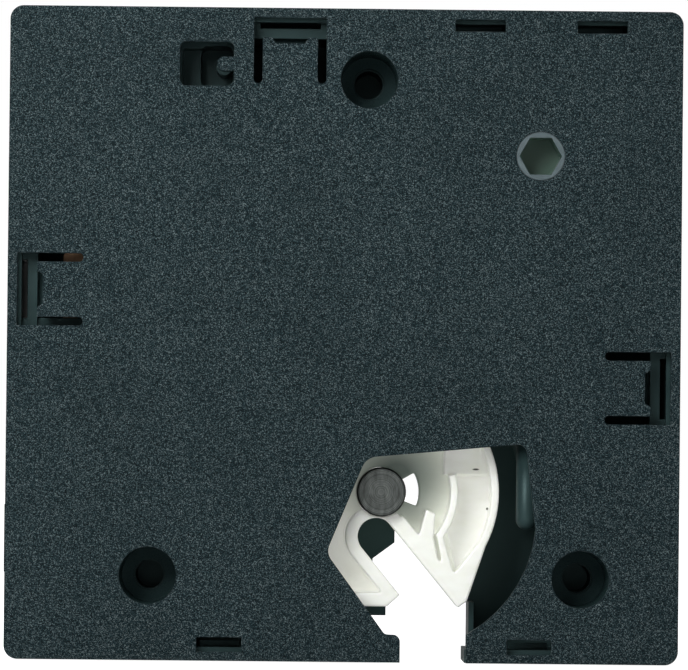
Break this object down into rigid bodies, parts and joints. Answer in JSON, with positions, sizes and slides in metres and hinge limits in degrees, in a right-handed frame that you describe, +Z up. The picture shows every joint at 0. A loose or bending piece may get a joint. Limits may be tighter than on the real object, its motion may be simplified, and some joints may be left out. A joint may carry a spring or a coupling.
{
  "type": "rotary latch isolator switch",
  "caption": "Flat square black moulded isolator module with a white rotary striker catch, coupled contact rotor, key-turned lock bar and plug-in sockets.",
  "frame": {"origin": "centre of the flat mounting face at the back", "axes": "+X right and +Z up as seen from the front, -Y towards the viewer; the striker mouth opens downwards, -Z"},
  "size_m": [0.1003, 0.025, 0.097],
  "materials": {
    "case_black": "smooth moulded black glass-filled plastic, slightly glossy inside",
    "cover_grey": "fine spark-eroded charcoal moulded plastic",
    "catch_white": "natural white acetal",
    "pin_steel": "turned dark steel",
    "spring_steel": "drawn spring wire",
    "rotor_red": "moulded insulating plastic",
    "copper": "plain rolled copper strip",
    "holder_cream": "moulded insulating plastic",
    "socket_black": "smooth moulded plastic",
    "board_olive": "solder-masked laminate",
    "tin": "tinned pins",
    "key_grey": "blue-grey translucent-looking moulded plastic",
    "rubber": "soft black rubber",
    "plunger_orange": "moulded plastic"
  },
  "bodies": {
    "housing": {"rear_housing": "case_black", "front_cover": "cover_grey", "pivot_pin": "pin_steel", "rotor_shaft": "pin_steel", "catch_spring": "spring_steel", "contact_holder_left": "holder_cream", "contact_holder_right": "holder_cream", "line_contact_front": "copper", "line_contact_back": "copper", "load_contact_front": "copper", "load_contact_back": "copper", "power_socket": "socket_black", "signal_board": "board_olive", "signal_socket": "socket_black", "signal_pins": "tin", "switch_body": "socket_black", "switch_terminals": "tin", "spindle_seal": "rubber", "lock_bar_keeper": "spring_steel", "lock_spring": "spring_steel"},
    "catch": {"catch_fork": "catch_white"},
    "rotor": {"contact_rotor": "rotor_red", "moving_contact_front": "copper", "moving_contact_back": "copper", "rotor_clip": "spring_steel"},
    "spindle": {"release_spindle": "key_grey"},
    "bar": {"lock_bar": "pin_steel"},
    "plunger": {"switch_plunger": "plunger_orange"}
  },
  "joints": [
    {"name": "catch_turn", "type": "hinge", "parent": "housing", "child": "catch", "pos_m": [0.00583, -0.012, -0.02323], "axis": [0, -1, 0], "range_deg": [0, 75], "stiffness_Nm_per_rad": 0.004, "springref_deg": -17.19},
    {"name": "rotor_turn", "type": "hinge", "parent": "housing", "child": "rotor", "pos_m": [-0.0175, -0.012, 0.00011], "axis": [0, -1, 0], "range_deg": [-90, 0], "deforming": ["catch_spring"]},
    {"name": "spindle_turn", "type": "hinge", "parent": "housing", "child": "spindle", "pos_m": [0.02896, -0.012, 0.02687], "axis": [0, -1, 0], "range_deg": [0, 90]},
    {"name": "lock_slide", "type": "slide", "parent": "housing", "child": "bar", "axis": [0, 0, -1], "range_m": [0, 0.00628], "deforming": ["lock_spring"]},
    {"name": "plunger_press", "type": "slide", "parent": "housing", "child": "plunger", "axis": [0, 0, 1], "range_m": [0, 0.0006], "stiffness_N_per_m": 300, "springref_m": -0.0004}
  ],
  "couplings": [
    {"joint": "rotor_turn", "follows": "catch_turn", "ratio": -1.2},
    {"joint": "spindle_turn", "follows": "lock_slide", "rad_per_m": 250}
  ]
}
